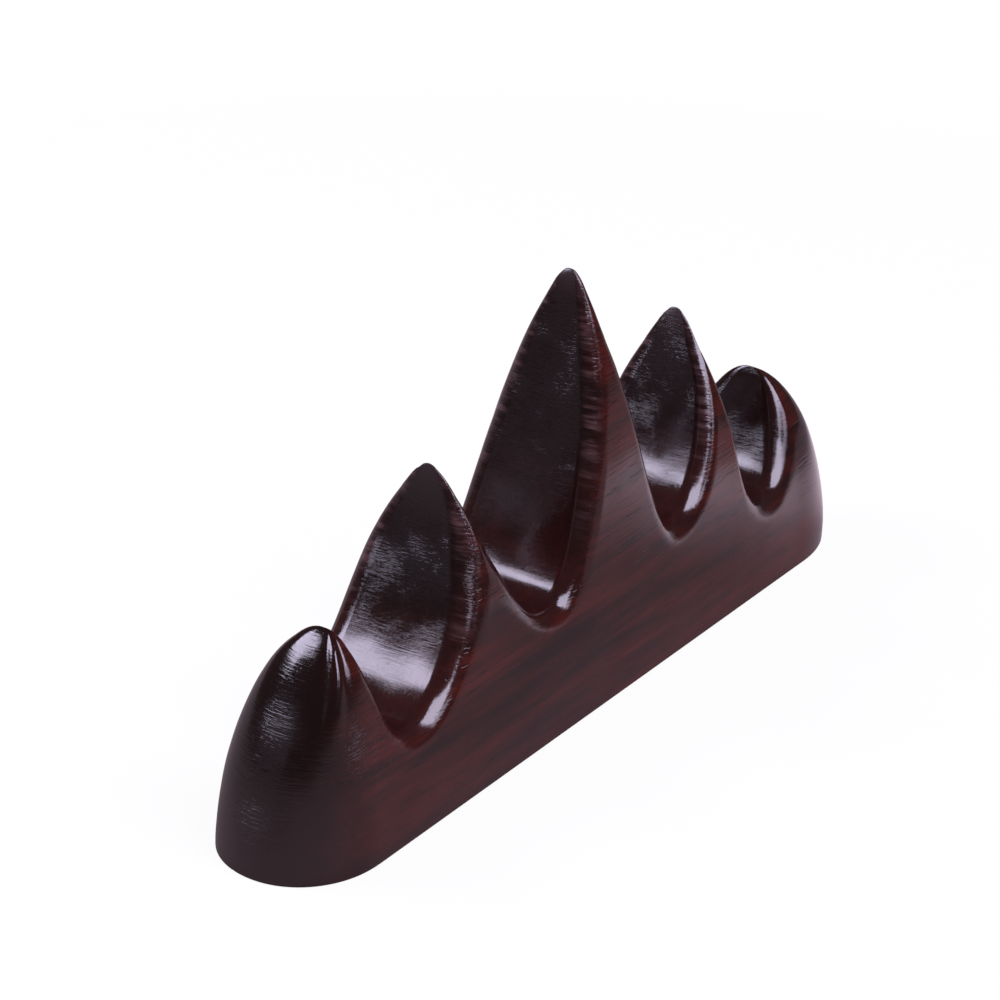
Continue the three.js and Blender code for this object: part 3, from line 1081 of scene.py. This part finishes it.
@dataclass
class Studio:
    """Camera, white sheet and soft lamps. The sheet's sizes and ranges are in metres."""

    focal_pixels: float = 3609.7
    azimuth: float = -57.08
    elevation: float = 25.59
    roll: float = 2.3
    distance: float = 491.85
    target: Place = (-14.06, 0.0, 32.96)
    sensor: float = 36.0
    picture: int = 1000
    clip: Range = (0.01, 20.0)
    sheet_radius: float = 0.45
    sheet_gap: float = 0.00002
    sheet_corners: int = 96
    rim_range: Range = (0.1125, 0.27)
    whitening: float = 0.93
    polish_share: float = 0.02
    dim_paper: float = 0.25
    lit_paper: float = 0.6
    lit_from: Range = (0.04, 0.09)
    lit_until: Range = (0.10, 0.15)
    surround: Colour = (0.036, 0.029, 0.032)
    bounced: Colour = (1.0, 0.86, 0.80)
    lamps: tuple[Softbox, ...] = (
        Softbox("back_softbox", -150.0, 40.5, 0.62, 0.48, 9.5),
        Softbox("front_softbox", -3.0, 48.0, 0.62, 0.64, 10.8),
        Softbox("front_card", 10.0, 24.0, 0.30, 0.17, 0.66),
        Softbox("left_sheet", -118.0, 9.0, 0.50, 0.12, 0.07),
    )

    @staticmethod
    def bearing(azimuth: float, elevation: float) -> Vector:
        """The unit vector from the object towards a bearing; azimuth 0 is the front, -Y."""
        a, e = math.radians(azimuth), math.radians(elevation)
        return Vector((math.sin(a) * math.cos(e), -math.cos(a) * math.cos(e), math.sin(e)))

    def camera(self) -> None:
        """Places the camera at the picture's viewpoint, with its small roll."""
        back = self.bearing(self.azimuth, self.elevation)
        right = (-back).cross(Vector((0.0, 0.0, 1.0))).normalized()
        up = right.cross(-back)
        turn = math.radians(self.roll)
        across = right * math.cos(turn) + up * math.sin(turn)
        above = up * math.cos(turn) - right * math.sin(turn)
        data = bpy.data.cameras.new("camera")
        data.sensor_width = self.sensor
        data.lens = self.focal_pixels / self.picture * self.sensor
        data.clip_start, data.clip_end = self.clip
        camera = in_scene("camera", data)
        place = (Vector(self.target) + back * self.distance) * MM
        turned = Matrix((across, above, back)).transposed().to_4x4()
        camera.matrix_world = Matrix.Translation(place) @ turned
        bpy.context.scene.camera = camera

    def light(self) -> None:
        """Hangs the softboxes and sets the dim surround."""
        for lamp in self.lamps:
            data = bpy.data.lights.new(lamp.name, "AREA")
            data.shape = "RECTANGLE"
            data.size, data.size_y = lamp.width, lamp.height
            data.energy = lamp.watts
            data.color = lamp.tint
            body = in_scene(lamp.name, data)
            away = self.bearing(lamp.azimuth, lamp.elevation)
            turned = away.to_track_quat("Z", "Y").to_matrix().to_4x4()
            body.matrix_world = Matrix.Translation(away * lamp.distance) @ turned
        world = bpy.data.worlds.new("surround")
        world.use_nodes = True
        s = Sketch(world.node_tree)
        dim = s.node("Background", {"Color": (*self.surround, 1.0), "Strength": 1.0})
        white = s.node("Background", {"Color": WHITE, "Strength": 1.0})
        shares = {0: self.seen_directly(s), 1: dim.outputs[0], 2: white.outputs[0]}
        shown = s.node("MixShader", shares)
        s.node("OutputWorld", {"Surface": shown.outputs[0]})
        bpy.context.scene.world = world

    def seen_directly(self, s: Sketch) -> Socket:
        """Which rays see the plain white of the picture's background.

        Args:
            s: the tree of the world or of the sheet's material.

        Returns:
            1 for the camera, directly or through glass, and a small share in the polish.
        """
        path = s.node("LightPath").outputs
        clear = s.larger(path["Is Camera Ray"], path["Is Transmission Ray"])
        return s.larger(clear, s.times(path["Is Glossy Ray"], self.polish_share))

    def floor(self) -> None:
        """Lays the white sheet, a hair under the base, to keep the object's shadow."""
        sheet = in_scene("floor", self.sheet_mesh())
        sheet.location.z = -self.sheet_gap
        sheet.data.materials.append(self.paper())

    def sheet_mesh(self) -> bpy.types.Mesh:
        """The sheet as one flat face with its corners on a circle.

        Returns:
            The mesh.
        """
        angle = np.linspace(0.0, 2.0 * math.pi, self.sheet_corners, endpoint=False)
        points = self.sheet_radius * np.stack([np.cos(angle), np.sin(angle), 0.0 * angle], axis=1)
        mesh = bpy.data.meshes.new("floor")
        mesh.from_pydata(points.tolist(), [], [range(self.sheet_corners)])
        return mesh

    def paper(self) -> bpy.types.Material:
        """Paper that is white to the camera, whiter still towards its rim, and dim in the polish.

        In the polish and in bounced light it is brighter at the right end near the rest: a painted
        pool of light.

        Returns:
            The material.
        """
        material, s = blank_material("white_sheet")
        place = s.node("TexCoord").outputs["Object"]
        away = s.node("VectorMath", {0: place}, operation="LENGTH").outputs["Value"]
        white = s.larger(s.ramp(away, self.rim_range), self.whitening)
        share = s.times(self.seen_directly(s), white)
        right = s.node("SeparateXYZ", {0: place}).outputs["X"]
        close = s.less(1.0, s.ramp(away, self.lit_until))
        # Painted pool of light on the paper at the right end, seen in the polish and in bounced
        # light.
        lit = s.times(s.ramp(right, self.lit_from), close)
        pale = s.plus(self.dim_paper, s.times(lit, self.lit_paper))
        toned = s.mixed(pale, BLACK, (*self.bounced, 1.0))
        clear = s.node("LightPath").outputs["Is Camera Ray"]
        sheet = s.node("BsdfDiffuse", {"Color": s.mixed(clear, toned, WHITE)})
        glow = s.node("Emission", {"Color": WHITE, "Strength": 1.0})
        shown = s.node("MixShader", {0: share, 1: sheet.outputs[0], 2: glow.outputs[0]})
        s.node("OutputMaterial", {"Surface": shown.outputs[0]})
        return material


def dress(block: bpy.types.Object) -> None:
    """Gives the block its two finishes: wax above, bare wood on the underside.

    Args:
        block: the carved rest.
    """
    grain, marks = LongGrain().build(), AbrasiveMarks().build()
    block.data.materials.append(WaxedHardwood().build(grain, marks))
    block.data.materials.append(BareHardwood().build(grain, marks))
    faces = block.data.polygons
    normals = np.zeros(len(faces) * 3)
    faces.foreach_get("normal", normals)
    below = normals[2::3] < FACING_DOWN
    faces.foreach_set("material_index", below.astype(np.int32))


def corners(box: tuple[Vector, Vector]) -> list[list[float]]:
    """A box as two plain lists of numbers."""
    return [list(box[0]), list(box[1])]


def main() -> None:
    """Builds the studio and the rest, in that order, and reports each piece."""
    logging.basicConfig(level=logging.INFO, format="%(name)s: %(message)s")
    bpy.context.scene.view_settings.view_transform = "Standard"
    studio = Studio()
    studio.camera()
    studio.light()
    studio.floor()
    block = CarvedRest().build()
    dress(block)
    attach(block, "root")
    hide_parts("carved_rest")
    mesh = block.data
    LOG.info("%s: %d points, %d faces", block.name, len(mesh.vertices), len(mesh.polygons))


if __name__ == "__main__":
    main()
